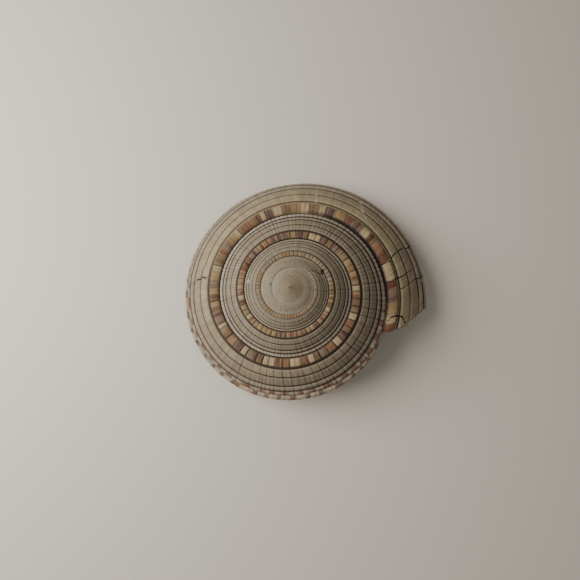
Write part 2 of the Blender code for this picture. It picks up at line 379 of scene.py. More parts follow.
print("at the lip the keel trails by", round(float(-growth_lag(1.0, LIP_STATION)), 2), "stations")

# %% [markdown]
# Slope, bands and gaps together give the places of the upper side's rows. The same function hands
# out the marks that the finish needs later: how far a point is along the growth and across the
# whorl, how dark its groove is, and how much shade is painted into its gap or into the channel.

# %% Rows of the upper side
# The grooves on either side of the second band run out just before the lip.
INNER_GROOVE_ENDS, OUTER_GROOVE_ENDS = 1.038, 1.056
GROOVE_FADES = 0.014
ENDING_GROOVES = (0.40, 0.62, 0.78)
# On the smallest whorls only the seam shows.
SEAM_SHARE = 0.1
GROOVES_SHOW = (-2.5, -1.8)
# Painted shadow darkens the channel, and the side of the keel that ends beside it.
CHANNEL_DARKENS = (0.72, 0.84)
DARK_CHANNEL_WIDTH = 0.06
KEEL_SIDE_FROM, KEEL_SIDE_TO = (-0.24, -0.12), (0.04, 0.07)
KEEL_SIDE_SHARE, KEEL_SIDE_SHADOW = 0.90, 0.8
# Shade painted into the gaps between beads is this much stronger than in the cuts.
BEAD_GAP_SHADE = 1.35


def upper_side(k):
    """World places and marks of the upper side's rows, for an array of stations."""
    k = k[:, None]
    turn = k / PER_TURN
    band, x, share, relief = (column[None, :] for column in UPPER.T)
    gap = gap_strength(turn, band)
    depth = np.where(band == SECOND_CORD, CORD_CUT_DEPTH, CUT_DEPTH)
    depth = np.where(band == BEADED, BEAD_GAP_DEPTH * relief, depth)
    fade = np.interp(turn, RELIEF_TURNS, RELIEF_STRENGTH)
    channel = np.interp(turn, CHANNEL_TURNS, CHANNEL_DEPTH) * np.clip(1 - share / CHANNEL_WIDTH, 0, 1)
    height = (relief - gap * depth) * fade - channel
    station = k + growth_lag(share, k)
    radius, below = upper_point(station / PER_TURN, *slope(share, k), height)
    reach = np.interp(station / PER_TURN, KEEL_REACH_TURNS, KEEL_REACH) * (turn > KEEL_REACH_TURNS[0])
    follow = np.interp(share, FOLLOW_SHARES, FOLLOW) * np.maximum(0, reach)
    radius = radius + follow * seam(station / PER_TURN + 1)[0]
    marks = {"turn": turn + 0 * share, "across": share + 0 * turn}
    marks["zone"] = band + 0 * turn
    marks["x"] = x + 0 * turn
    end = np.where(share < ENDING_GROOVES[1], INNER_GROOVE_ENDS, OUTER_GROOVE_ENDS)
    among = (share > ENDING_GROOVES[0]) * (share < ENDING_GROOVES[2])
    shows = np.where(share < SEAM_SHARE, 1.0, ramp(turn, *GROOVES_SHOW))
    ended = ramp(turn, end - GROOVE_FADES, end) * among
    marks["groove"] = np.interp(turn, LINE_TURNS, LINE_STRENGTH) * shows * (1 - ended)
    # Painted shadow: the channel by the seam near the lip, and the keel's side beside it, are darkened.
    beside = ramp(turn, *KEEL_SIDE_FROM) * (1 - ramp(turn, *KEEL_SIDE_TO)) * (share > KEEL_SIDE_SHARE)
    channel_shadow = ramp(turn, *CHANNEL_DARKENS) * (share < DARK_CHANNEL_WIDTH)
    marks["pit"] = np.maximum(channel_shadow, KEEL_SIDE_SHADOW * beside)
    # Painted shade in the gaps between beads and in the cuts across the bands.
    marks["gap"] = gap * fade * np.where(band == BEADED, BEAD_GAP_SHADE, 1.0)
    return settled(radius, below, station), marks


print("points of one section:", upper_side(np.array([0.0]))[0].shape[1])

# %% [markdown]
# ## Keel, base and umbilicus
#
# Below the keel come a second cord, a nearly flat base, and a row of strong beads round the
# umbilicus, the open funnel up the shell's middle. The photograph shows none of it, so it follows
# what such shells have. These rows continue those of the upper side, in one section.

# %% Keel, base and umbilicus
KEEL_CORD, LOWER_CORD, PLAIN_BASE, SPOTTED_CORD, INNER_CORD, MARGIN, WALL = range(10, 17)
# For each cord or groove: share of the keel's radius and drop as a share of it, row by row.
LOWER_BANDS = [
    (KEEL_CORD, [(0.978, -0.006), (0.990, -0.002), (1.000, 0.010)]),
    (KEEL_CORD, [(1.004, 0.024), (1.002, 0.039), (0.994, 0.050)]),
    (GROOVE, [(0.982, 0.056)]),
    (LOWER_CORD, [(0.980, 0.068), (0.970, 0.082), (0.953, 0.089), (0.936, 0.089)]),
    (GROOVE, [(0.924, 0.084)]),
    (PLAIN_BASE, [(0.908, 0.090), (0.860, 0.096), (0.790, 0.101)]),
    (PLAIN_BASE, [(0.710, 0.105), (0.620, 0.107), (0.540, 0.107)]),
    (GROOVE, [(0.505, 0.100)]),
    (SPOTTED_CORD, [(0.490, 0.107), (0.462, 0.110), (0.436, 0.106)]),
    (GROOVE, [(0.423, 0.096)]),
    (INNER_CORD, [(0.410, 0.103), (0.390, 0.105), (0.368, 0.099)]),
    (GROOVE, [(0.354, 0.086)]),
    (MARGIN, [(0.338, 0.094), (0.316, 0.105), (0.296, 0.103), (0.279, 0.084)]),
    (WALL, [(0.266, 0.020), (0.252, -0.050), (0.238, -0.105)]),
]
LOWER = np.array([(zone, *row) for zone, rows in LOWER_BANDS for row in rows])
print(len(LOWER), "rows from the keel to the top of the funnel's wall")

# %% [markdown]
# The growth lines go on over the keel and run forward again on the base. The funnel uses only the
# last rows. One more row is tucked into the whorl before, so that no slit stays open.

# %% Rows of the lower side
KEEL_GROOVE = 0.976
# Beads round the umbilicus a turn, their height, and those of the cord beside them as a share of it.
CRENAE_PER_TURN = 36
CRENA_HEIGHT = 0.011
INNER_CRENAE = 0.3
CRENA_LIFT = 0.6
# The keel's own small notches.
KEEL_NOTCH = 0.007
NOTCH_WIDTH, NOTCH_ODD = 0.20, 0.8
KEEL_ROWS = 3
WALL_FROM = 26
# The growth lines run forward again on the base, by a quarter over this many rows.
BASE_SPAN = 24
BASE_FORWARD = 0.25
# Share and drop of the row tucked into the whorl before.
TUCKED_WALL = (0.36, 0.075)
ROWS_PER_UNIT = 20


def lower_side(k, first=0):
    """World places and marks of the lower side's rows, and of one row tucked into the whorl before."""
    k = k[:, None]
    turn = k / PER_TURN
    zone, share, drop = (column[None, first:] for column in LOWER.T)
    row = np.arange(first, len(LOWER))[None, :]
    station = k - lean(k) * (1 - BASE_FORWARD * np.clip(row / BASE_SPAN, 0, 1))
    wave = np.cos(math.tau * CRENAE_PER_TURN * turn)
    swell = CRENA_HEIGHT * wave * ((zone == MARGIN) + INNER_CRENAE * (zone == INNER_CORD))
    # The keel cord fills the space between the last groove and its own outer edge.
    reach = np.interp(station / PER_TURN, KEEL_REACH_TURNS, KEEL_REACH) * np.clip(2 * share - 1, 0, 1)
    rise = np.clip((share - KEEL_GROOVE) / (1 - KEEL_GROOVE), 0, 1)
    pulled = np.where((row < KEEL_ROWS) & (reach > 0), -(1 - FOLLOW[-1]) * reach * (1 - rise), 0)
    notch = KEEL_NOTCH * gap_nearness(turn, NOTCH_WIDTH, NOTCH_ODD) * (zone == KEEL_CORD) * (row > 0)
    radius, below = lower_point(station / PER_TURN, share - CRENA_LIFT * swell, drop + swell)
    radius = radius + (pulled - notch) * seam(station / PER_TURN + 1)[0]
    last = k - (1 - BASE_FORWARD) * lean(k)
    tuck_radius, tuck_below = lower_point(last / PER_TURN - 1, *TUCKED_WALL)
    radius = np.hstack([radius, tuck_radius])
    below = np.hstack([below, tuck_below])
    station = np.hstack([station, last])
    zones = np.hstack([zone + 0 * turn, WALL + 0 * last])
    rows = np.hstack([row + 0 * turn, len(LOWER) + 0 * last])
    marks = {"turn": np.broadcast_to(turn, zones.shape), "across": 1 + rows / ROWS_PER_UNIT}
    # Shade painted into the base's grooves.
    marks["pit"] = np.hstack([(zone == GROOVE) + 0 * turn, 0 * last])
    # Shade painted into the troughs between the beads round the umbilicus.
    marks["gap"] = np.where((zones >= INNER_CORD) & (zones < WALL), np.clip(-wave, 0, 1) ** 3, 0)
    marks["zone"] = zones
    marks["x"] = 0.5 + 0 * zones
    return settled(radius, below, station), marks


def joined(*sides):
    """Sections side by side as one; a mark that one of them lacks is 0 there."""
    places = np.hstack([side[0] for side in sides])
    names = {name for side in sides for name in side[1]}
    marks = {}
    for name in sorted(names):
        marks[name] = np.hstack([side[1].get(name, 0 * side[0][..., 0]) for side in sides])
    return places, marks


print("funnel rows from row", WALL_FROM)

# %% [markdown]
# ## Colours of the bands
#
# The shell is painted as it grows, so its colours follow the same two directions as the relief.
# Each colour gets a mark from 0 to 1 on every point: tan, ashy and white ground, gold and cream
# beads, and the orange, brown, red and mauve blocks. The blocks' places on the last whorl are read
# off the photograph, in degrees of growth. On the second whorl each pair of small beads draws its
# colour, and on the third the pairs are gold.

# %% Colours of the bands
KINDS = ["orange", "brown", "red", "mauve", "gold"]
# On the second whorl: share of cream pairs, and where a drawn number passes to the next colour.
CREAM_SHARE = 0.22
DRAWN_LIMITS = [0.40, 0.64, 0.74, 0.84]
SECOND_WHORL_FROM = (-1.12, -1.0)
LAST_LEAST, SECOND_LEAST = 0.80, 0.60
EDGE_PALER = 0.30


def block_colours(turn, x):
    """How much of each block colour is on the beaded band, as one array for each."""
    number = bead_number(turn)
    tone = bead_tone[number]
    middle = (bead_edges[number] + bead_edges[number + 1]) / 2
    block = np.searchsorted(block_starts, middle, side="right") - 1
    on_last = block >= 0
    read = np.array([colour for _, colour in BLOCKS])[np.maximum(block, 0)]
    first_of_pair = number - number % 2
    drawn = np.searchsorted(DRAWN_LIMITS, bead_tone[first_of_pair])
    cream = bead_pick[first_of_pair] < CREAM_SHARE
    chosen = np.where(on_last, read, np.where(cream, CREAM, drawn))
    least = np.where(on_last, LAST_LEAST, SECOND_LEAST)
    strength = (least + (1 - least) * tone) * ramp(turn, *SECOND_WHORL_FROM)
    strength = strength * (1 - EDGE_PALER * ramp(x, 0.6, 1.0) * bead_pick[number])
    return [np.where(chosen == kind, strength, 0.0) for kind in range(len(KINDS))]


print(len(BLOCKS), "blocks on the last whorl")

# %% [markdown]
# The broad bands are warm tan and the cords ashy. The keel cord and its neighbours are chequered in
# brown and orange, the base has a spotted cord, and the double groove an olive strip.

# %% Colours of the other bands
CHECKS_PER_TURN = 44
CHECK_EDGE = (-0.25, 0.55)
# Height, number a turn and shift of the waves that make the checks uneven.
CHECK_WAVES = [(1.3, 7.3, 0), (0.9, 12.7, 1)]
# Colour, cord, and 0 or 1 for checks that come first or second.
CHECKED = [("brown", KEEL_CORD, 0), ("orange", SECOND_CORD, 1), ("brown", LOWER_CORD, 1)]
CHECK_STRENGTH = 0.85
CHECKS_BEGIN, CHECKS_FADE, CHECKS_FADE_BY = (-0.02, 0.06), (0.50, 0.62), 0.75
WARM_TURNS = [-0.1, 0.1, 0.38, 0.55]
WARM = [0.05, 0.40, 0.50, 0.85]
BROAD_TAN, SECOND_BAND_TAN, OTHER_TAN, BASE_TAN = 1.0, 0.75, 0.5, 0.55
CORD_ASHY, OTHER_ASHY, ASHY_FROM = 0.8, 0.55, (-4.4, -3.6)
GOLD_FROM, GOLD_LEAST = (-2.3, -1.9), 0.45
APEX_GOLD, APEX_GOLD_TO = 0.5, (-6.0, -4.6)
CREAM_FROM, BASE_CREAM = (-1.1, -0.95), 0.8
SPOT_STRENGTH, SPOT_EDGE = 0.8, (-0.1, 0.5)
PALE_CORD, PALE_CORD_FROM, PALE_CORD_LESS, PALE_CORD_TO = 0.65, (-1.6, -0.9), 0.6, (-0.25, -0.05)
CHECK_WHITE = 0.5
OLIVE_STRIP = (0.228, 0.298)
OLIVE_STRENGTH, OLIVE_LESS = 0.95, 0.50
OLIVE_FROM, OLIVE_FADES = (-2.2, -0.8), (0.50, 0.66)


def painted(marks):
    """Adds the colour marks to a section's marks, and drops the two that were only needed here."""
    turn, across, zone, x = marks["turn"], marks["across"], marks.pop("zone"), marks.pop("x")
    beaded = zone == BEADED
    broad = np.isin(zone, [FIRST_BAND, OLIVE])
    ground = np.where(broad, BROAD_TAN, np.where(zone == SECOND_BAND, SECOND_BAND_TAN, OTHER_TAN))
    marks["tan"] = np.where(zone >= KEEL_CORD, BASE_TAN, np.interp(turn, WARM_TURNS, WARM) * ground)
    corded = np.isin(zone, [FIRST_CORD, SECOND_CORD])
    marks["ashy"] = np.where(corded, CORD_ASHY, OTHER_ASHY) * ramp(turn, *ASHY_FROM)
    for name, colour in zip(KINDS, block_colours(turn, x)):
        marks[name] = np.where(beaded, colour, 0.0)
    number = bead_number(turn)
    pair_gold = GOLD_LEAST + (1 - GOLD_LEAST) * bead_tone[number - number % 2]
    pair_gold = pair_gold * ramp(turn, *GOLD_FROM) * (1 - ramp(turn, *SECOND_WHORL_FROM))
    marks["gold"] = np.where(beaded, np.maximum(marks["gold"], pair_gold), 0.0)
    marks["gold"] = np.maximum(marks["gold"], APEX_GOLD * (1 - ramp(turn, *APEX_GOLD_TO)))
    base_cream = np.where(np.isin(zone, [MARGIN, INNER_CORD]), BASE_CREAM, 0.0)
    marks["cream"] = np.where(beaded, ramp(turn, *CREAM_FROM), base_cream)
    wobble = sum(height * np.sin(math.tau * count * turn + shift) for height, count, shift in CHECK_WAVES)
    checks = ramp(np.sin(math.tau * CHECKS_PER_TURN * turn + wobble), *CHECK_EDGE)
    shown = ramp(turn, *CHECKS_BEGIN) * (1 - CHECKS_FADE_BY * ramp(turn, *CHECKS_FADE))
    for name, band, second in CHECKED:
        check = second + (1 - 2 * second) * checks
        marks[name] = np.where(zone == band, CHECK_STRENGTH * check * shown, marks[name])
    spots = SPOT_STRENGTH * ramp(np.cos(math.tau * CRENAE_PER_TURN * turn), *SPOT_EDGE)
    marks["brown"] = np.where(zone == SPOTTED_CORD, spots, marks["brown"])
    pale = ramp(turn, *PALE_CORD_FROM) * (PALE_CORD - PALE_CORD_LESS * ramp(turn, *PALE_CORD_TO))
    pale = np.where(zone == SECOND_CORD, pale, 0.0)
    chequered = np.isin(zone, [KEEL_CORD, SECOND_CORD])
    marks["white"] = np.where(chequered, np.maximum(pale, CHECK_WHITE * shown), pale)
    olive = (OLIVE_STRENGTH - OLIVE_LESS * ramp(turn, *OLIVE_FADES)) * ramp(turn, *OLIVE_FROM)
    marks["olive"] = np.where((across > OLIVE_STRIP[0]) & (across < OLIVE_STRIP[1]), olive, 0.0)
    return marks


# %% [markdown]
# ## A flat map, rolled up
#
# Blender's grid operator makes a flat sheet with a column for each station and a line for each
# row. Moving its points to their places on the spiral rolls the sheet up into a whorl. The other
# ways, a spin or thousands of extrusions, would need each column's size and lean corrected
# afterwards. The marks become attributes on the points, and the finish reads them.

# %% A flat map, rolled up
shell_bm = bmesh.new()
MARKS = ["turn", "across", "groove", "gap", "tan", "ashy", "gold", "cream", "olive", "orange", "brown"]
MARKS += ["red", "mauve", "white", "pit", "inside"]
layers = {name: shell_bm.verts.layers.float.new(name) for name in MARKS}


def rolled(places, marks):
    """A sheet with its points at those places; returns its points as a grid of the same shape."""
    columns, lines = places.shape[:2]
    made = bmesh.ops.create_grid(shell_bm, x_segments=columns - 1, y_segments=lines - 1, size=1.0)["verts"]
    grid = [[None] * lines for _ in range(columns)]
    for vert in made:
        i = round((vert.co.x + 1) / 2 * (columns - 1))
        j = round((vert.co.y + 1) / 2 * (lines - 1))
        grid[i][j] = vert
        vert.co = places[i, j]
        for name, values in marks.items():
            vert[layers[name]] = values[i, j]
    return grid


def grown(section):
    """A painted and rolled sheet of a section."""
    places, marks = section
    return rolled(places, painted(marks))


print(len(MARKS), "marks on every point")

# %% [markdown]
# Each sheet has a column in every gap and up to three over every bead, fewer where the shell is
# worn or small. The last whorl is one sheet from the seam round the keel to the funnel. Of the
# whorls before it only the upper side shows.

# %% The whorls
CRISP = [0.0, 0.18, 0.50, 0.82]
FAIR = [0.0, 0.30, 0.70]
ROUGH = [0.0, 0.5]
PLAIN = [0.0]
COVERED_TO = 5
CRISP_TO = 40
crisp_part = stations(COVERED_TO, CRISP_TO, CRISP)[:-1]
last_whorl = np.append(crisp_part, stations(CRISP_TO, LIP_STATION, FAIR))
outer_grid = grown(joined(upper_side(last_whorl), lower_side(last_whorl)))
for start, end, shares, every in [
    (-86, COVERED_TO, CRISP, 1),
    (-158, -86, FAIR, 1),
    (-212, -158, ROUGH, 1),
    (-290, -212, PLAIN, 1),
    (FIRST_TURN * PER_TURN, -290, PLAIN, 4),
]:
    grown(upper_side(stations(start, end, shares, every)))
# The base of the second whorl shows only through the mouth.
BASE_FROM = -45
grown(lower_side(np.arange(BASE_FROM, COVERED_TO + 0.5, 1.0)))
print(len(shell_bm.faces), "faces on the outside so far")

# %% [markdown]
# ## The funnel's inner whorls
#
# Looking up the umbilicus, every earlier whorl shows its beaded margin and its wall, smaller each
# time. They are the last rows of the same section, so the same function makes them.

# %% The funnel's inner whorls
FUNNEL_TOP = -216
grown(lower_side(np.arange(FUNNEL_TOP, BASE_FROM + 0.5, 0.5), first=WALL_FROM))
print(len(shell_bm.faces), "faces with the funnel")

# %% [markdown]
# ## Inside the mouth
#
# The tube is hollow. Its inner skin follows the outer one at the wall's thickness, and thins to a
# sharp edge at the lip. A smooth curve through a dozen points gives the section, and the skin
# closes to a point deep inside, where nobody sees it. The lip joins both skins with
# bridge_loops.

# %% Inside the mouth
WALL_THICKNESS = 0.085
LIP_THICKNESS = 0.040
INSIDE_UPPER = np.array([(0.222, 0.038), (0.468, 0.262), (0.723, 0.630), (0.870, 0.850)])
INSIDE_LOWER = np.array([
    (0.955, 0.022), (0.928, 0.048), (0.750, 0.064), (0.550, 0.066),
    (0.400, 0.058), (0.345, 0.040), (0.304, 0.000), (0.274, -0.102),
])
# Share and drop where the skin meets the whorl before, at its outer and its inner end.
INSIDE_START = (0.965, 0.075)
INSIDE_END = (0.41, 0.088)
THINS_OVER = 4
THIN_SHIFT = (0.01, 0.025)
INSIDE_FROM = 30
INSIDE_COLUMNS = 120
INSIDE_STEPS = 3
# Beyond every band, so that no groove line falls inside.
INSIDE_ACROSS = 4


def curve_through(points, steps):
    """Points on a smooth curve through the second axis of an array."""
    padded = np.hstack([points[:, :1], points, points[:, -1:]])
    made = []
    for i in range(points.shape[1] - 1):
        a, b, c, d = (padded[:, i + n] for n in range(4))
        for t in np.arange(steps) / steps:
            curve = 2 * b + (c - a) * t + (2 * a - 5 * b + 4 * c - d) * t**2
            curve = curve + (3 * b - a - 3 * c + d) * t**3
            made.append(curve / 2)
    made.append(points[:, -1])
    return np.stack(made, axis=1)


print(len(INSIDE_UPPER) + len(INSIDE_LOWER) + 2, "points give the section")

# %% [markdown]
# The skin is set out from the same slope, lean and lag as the outside, so both follow each other
# round the tube.

# %% The inner skin
def inside(k):
    """World places of the mouth's inner skin, for an array of stations."""
    k = k[:, None]
    full = 1 - np.exp(-(LIP_STATION - k) / THINS_OVER)
    thick = LIP_THICKNESS + (WALL_THICKNESS - LIP_THICKNESS) * full
    start = settled(*lower_point(k / PER_TURN - 1, *INSIDE_START), k)
    share, drop = INSIDE_UPPER.T[:, None, :]
    station = k + growth_lag(share, k)
    upper = settled(*upper_point(station / PER_TURN, share, drop, -thick), station)
    share, drop = INSIDE_LOWER.T[:, None, :]
    forward = BASE_FORWARD * np.clip(np.arange(len(INSIDE_LOWER)) / 5, 0, 1)[None, :]
    station = k - lean(k) * (1 - forward)
    thin = 1 - thick / WALL_THICKNESS
    place = lower_point(station / PER_TURN, share + THIN_SHIFT[0] * thin, drop + THIN_SHIFT[1] * thin)
    lower = settled(*place, station)
    end_station = k - (1 - BASE_FORWARD) * lean(k)
    end = settled(*lower_point(end_station / PER_TURN - 1, *INSIDE_END), end_station)
    return curve_through(np.hstack([start, upper, lower, end]), INSIDE_STEPS)


inside_stations = np.linspace(INSIDE_FROM, LIP_STATION, INSIDE_COLUMNS)
inside_places = inside(inside_stations)
inside_places[0] = inside_places[0].mean(axis=0)
ones = np.ones(inside_places.shape[:2])
inside_marks = {"turn": inside_stations[:, None] / PER_TURN * ones, "inside": ones}
inside_marks["across"] = INSIDE_ACROSS * ones
inner_grid = rolled(inside_places, inside_marks)
inner_faces = {face for column in inner_grid for vert in column for face in vert.link_faces}
bmesh.ops.reverse_faces(shell_bm, faces=list(inner_faces))
print(len(inner_faces), "faces on the inner skin")

# %% [markdown]
# The last columns of the outside and the inside are the two edges of the lip.

# %% The lip
def chain(verts):
    """The edges that join a row of points."""
    return [shell_bm.edges.get(pair) for pair in zip(verts, verts[1:])]


bmesh.ops.bridge_loops(shell_bm, edges=chain(outer_grid[-1]) + chain(inner_grid[-1]))
print(len(shell_bm.faces), "faces with the mouth")

# %% [markdown]
# ## The nucleus and the funnel's top
#
# The shell the animal hatched with sits at the apex as a smooth dot. A flattened sphere is enough
# for it, with a brown spot in the middle. A small round cap closes the funnel far up inside.

# %% The nucleus and the funnel's top
NUCLEUS_RADIUS = 0.42 * MM
NUCLEUS_SUNK = 0.12 * MM
NUCLEUS_FLATTENED = 0.28
NUCLEUS_GOLD = 0.5
DOT_RADIUS = 0.22 * MM
CAP_SHARE, CAP_DROP = 0.30, -0.06
CAP_WIDER = 1.25
nucleus = bmesh.ops.create_icosphere(shell_bm, subdivisions=3, radius=NUCLEUS_RADIUS)["verts"]
flatten = REST @ Matrix.Diagonal((1, 1, NUCLEUS_FLATTENED, 1))
flatten = Matrix.Translation(APEX - Vector((0, 0, NUCLEUS_SUNK))) @ flatten
bmesh.ops.transform(shell_bm, matrix=flatten, verts=nucleus)
for vert in nucleus:
    out = math.hypot(vert.co.x - APEX.x, vert.co.y - APEX.y)
    vert[layers["turn"]] = FIRST_TURN
    vert[layers["across"]] = 0.5
    vert[layers["gold"]] = NUCLEUS_GOLD
    vert[layers["brown"]] = 1.0 if out < DOT_RADIUS else 0.0
top_radius, top_depth = lower_point(FUNNEL_TOP / PER_TURN, CAP_SHARE, CAP_DROP)
cap_place = Matrix.Translation(APEX) @ REST @ Matrix.Translation((0, 0, -float(top_depth)))
cap_radius = float(top_radius) * CAP_WIDER
cap = bmesh.ops.create_circle(shell_bm, cap_ends=True, segments=24, radius=cap_radius)["verts"]
bmesh.ops.transform(shell_bm, matrix=cap_place, verts=cap)
cap_faces = list({face for vert in cap for face in vert.link_faces})
bmesh.ops.reverse_faces(shell_bm, faces=[face for face in cap_faces if face.normal.z > 0])
for vert in cap:
    vert[layers["across"]] = 3.0
    vert[layers["turn"]] = -3.0
print(len(nucleus), "points in the nucleus,", len(cap), "in the cap")

# %% [markdown]
# ## The shell's object
#
# The sheets meet at points that are the same, and merging those makes one mesh. Smooth shading
# hides the flat faces, because each gap and cord already has its own rows and columns.

# %% The shell's object
def linked(name, data):
    """An object with that data, put into the scene."""
    made = bpy.data.objects.new(name, data)
    bpy.context.scene.collection.objects.link(made)
    return made


MERGE_DISTANCE = 0.0005 * MM
bmesh.ops.remove_doubles(shell_bm, verts=shell_bm.verts, dist=MERGE_DISTANCE)
shell_mesh = bpy.data.meshes.new("sundial_shell")
shell_bm.to_mesh(shell_mesh)
shell_bm.free()
shell_mesh.shade_smooth()
sundial_shell = linked("sundial_shell", shell_mesh)
triangles = sum(len(face.vertices) - 2 for face in shell_mesh.polygons)
print("sundial_shell has", triangles, "triangles")

# %% [markdown]
# ## The finish
#
# The shell is aragonite, a hard chalky mineral laid down in thin layers, here worn dull by sand.
# That gives a satin surface with fine growth lines, faint pores, dark lines in the grooves, and
# shade painted into the gaps, the base's grooves and the channel. Painting it by hand on a picture
# is one way. Here the marks on the mesh choose between plain colours, and noise breaks their edges,
# so the pattern follows the growth without any picture.

# %% Colours and a helper for nodes
def linear(code):
    """An sRGB hex colour as linear numbers."""
    parts = [int(code[i : i + 2], 16) / 255 for i in (1, 3, 5)]
    return tuple(c / 12.92 if c <= 0.04045 else ((c + 0.055) / 1.055) ** 2.4 for c in parts) + (1.0,)


def node(kind, inputs=None, **settings):
    """Adds a shader node with its settings; an input is a value, or the node or socket to link."""
    made = tree.nodes.new("ShaderNode" + kind)
    for name, value in settings.items():
        setattr(made, name, value)
    for name, value in (inputs or {}).items():
        if isinstance(value, bpy.types.Node):
            value = value.outputs[0]
        if isinstance(value, bpy.types.NodeSocket):
            tree.links.new(value, made.inputs[name])
        else:
            made.inputs[name].default_value = value
    return made


print("mid grey is", round(linear("#808080")[0], 3), "in linear numbers")

# %% Groove lines, pattern sizes and coats
# Middle and half width of each dark groove line, in shares of the whorl's width.
GROOVE_LINES = [
    (0.002, 0.034), (0.236, 0.014), (0.290, 0.020), (0.504, 0.026), (0.723, 0.028),
    (0.850, 0.028), (0.942, 0.034),
]
# The last whorl is about 110 mm long along its middle.
WHORL_LENGTH_MM = 110
GROWTH_LINE_MM = 0.30
STREAK_MM = 0.9
PORE_MM = 0.22
CLOUD_MM = 2.5
SMALL_WHORL = "#70644f"
# Mark, colour and raggedness of its edge, from the lowest coat to the highest.
LAYERS = [
    ("tan", "#8f7c58", 0.15),
    ("ashy", "#877b69", 0.15),
    ("white", "#9f9583", 0.30),
    ("cream", "#8c7a5a", 0.25),
    ("gold", "#6f5635", 0.50),
    ("orange", "#613820", 0.50),
    ("brown", "#452615", 0.60),
    ("red", "#4d1b0f", 0.50),
    ("mauve", "#44292a", 0.55),
    ("olive", "#2c2117", 0.20),
    ("inside", "#8f7d60", 0.05),
    # Painted shade: shadow in the channel and on the keel's side, and shade in the base's grooves.
    ("pit", "#120c08", 0.20),
    ("line", "#27190e", 0.15),
    # Painted shade in the gaps between beads, in the cuts and between the beads round the umbilicus.
    ("gap", "#1c120b", 0.25),
    ("pale", "#8f8674", 1.30),
    ("crack", "#100a07", 0.20),
]

# %% [markdown]
# ## Old damage
#
# Three growth checks cross the last whorl near the lip, two worn scars lie above them, an old break
# shows on the left, and a curved crack runs beside the lip. Each is a list of places, a share of
# the whorl's width with the degree of growth there. A float curve bends the line through them.
# Pits and chips are only small spots at a degree and a share.

# %% Old damage
# Layer, half width in degrees, and the line's places.
DAMAGE = [
    ("crack", 0.30, [(0.02, 343.0), (0.10, 343.5), (0.19, 344.5), (0.24, 345.5), (0.325, 343.5),
        (0.49, 344.0), (0.66, 345.5), (0.80, 348.5), (0.90, 349.0)]),
    ("crack", 0.28, [(0.04, 354.5), (0.15, 355.5), (0.225, 356.0), (0.39, 357.0),
        (0.50, 357.5), (0.65, 358.5)]),
    ("crack", 0.26, [(0.30, 363.0), (0.41, 363.5), (0.56, 364.0), (0.70, 365.0),
        (0.81, 367.0), (0.93, 368.0)]),
    ("crack", 0.50, [(0.075, 378.5), (0.10, 376.5), (0.163, 376.5), (0.238, 377.5), (0.288, 378.0),
        (0.375, 381.0), (0.425, 383.0)]),
    ("crack", 0.90, [(0.35, -758.0), (0.49, -755.0), (0.625, -747.5), (0.91, -742.0), (1.0, -740.0)]),
    ("crack", 0.35, [(0.33, 192.0), (0.363, 191.5), (0.44, 192.0), (0.54, 191.0), (0.64, 191.0)]),
    ("pale", 0.5, [(0.28, 284.5), (0.50, 283.6), (0.68, 283.4)]),
    ("pale", 1.1, [(0.34, 318.0), (0.41, 314.5), (0.66, 309.5), (0.78, 308.0)]),
]
# Layer, degree of growth, share and radius in millimetres.
SPOTS = [
    ("crack", 351.5, 0.24, 0.38),
    ("crack", 367.5, 0.83, 0.35),
    ("crack", 191.5, 0.363, 0.26),
    ("crack", -389.0, 0.0, 0.42),
    ("crack", -888.5, 0.05, 0.16),
    ("pale", -526.0, 0.80, 0.50),
    ("pale", 369.5, 0.86, 0.35),
]
SPOT_RELIEF = 0.01


def spot_place(degree, share):
    """Where a growth degree and a share are on the finished shell."""
    k = degree / 360 * PER_TURN
    station = k + growth_lag(share, k)
    drop = np.interp(share, DROP_SHARES, DROPS)
    return settled(*upper_point(station / PER_TURN, share, drop, SPOT_RELIEF), station)


# %% [markdown]
# ## Worn aragonite
#
# The marks come into the finish as attributes. Noise stretched along the growth gives growth lines
# and streaks, and noise in plain space gives pores and clouds. Each scale is one over the real
# size, so the pattern is as fine as on the shell.

# %% Worn aragonite
aragonite = bpy.data.materials.new("worn aragonite shell")
aragonite.use_nodes = True
tree = aragonite.node_tree
surface = tree.nodes["Principled BSDF"]
marks = {name: node("Attribute", attribute_name=name).outputs["Fac"] for name in MARKS}
lengthwise = node("Math", {0: marks["turn"], 1: WHORL_LENGTH_MM}, operation="MULTIPLY")
along_growth = node("CombineXYZ", {"X": lengthwise, "Y": marks["across"]})
place = node("TexCoord").outputs["Object"]
noises = []
for vector, scale, detail in [
    (along_growth, 1 / GROWTH_LINE_MM, 4.0),
    (place, 1 / (PORE_MM * MM), 3.0),
    (place, 1 / (CLOUD_MM * MM), 2.0),
    (along_growth, 1 / STREAK_MM, 2.0),
]:
    noises.append(node("TexNoise", {"Vector": vector, "Scale": scale, "Detail": detail}))
lines, pores, clouds, streaks = noises
print(len(noises), "noises")

# %% [markdown]
# The dark lines in the grooves are thin, so they come from a colour ramp over the share across the
# whorl: dark in the middle of a groove, with soft edges.

# %% Lines in the grooves
LINE_CORE = 0.4
BLACK = (0, 0, 0, 1)
ruled = node("ValToRGB", {"Fac": marks["across"]})
stops = ruled.color_ramp.elements
stops[0].color = stops[1].color = BLACK
for middle, half in GROOVE_LINES:
    for offset, value in [(-half, 0), (-LINE_CORE * half, 1), (LINE_CORE * half, 1), (half, 0)]:
        stops.new(max(0.0, middle + offset)).color = (value, value, value, 1)
marks["line"] = node("Math", {0: ruled, 1: marks["groove"]}, operation="MULTIPLY")
print(len(stops), "stops in the ramp")

# %% [markdown]
# A float curve turns the share across the whorl into the degree of growth where a crack lies. Near
# that degree the mark is 1. The growth lines' noise makes a crack wander a little. A spot is a
# distance from its centre.

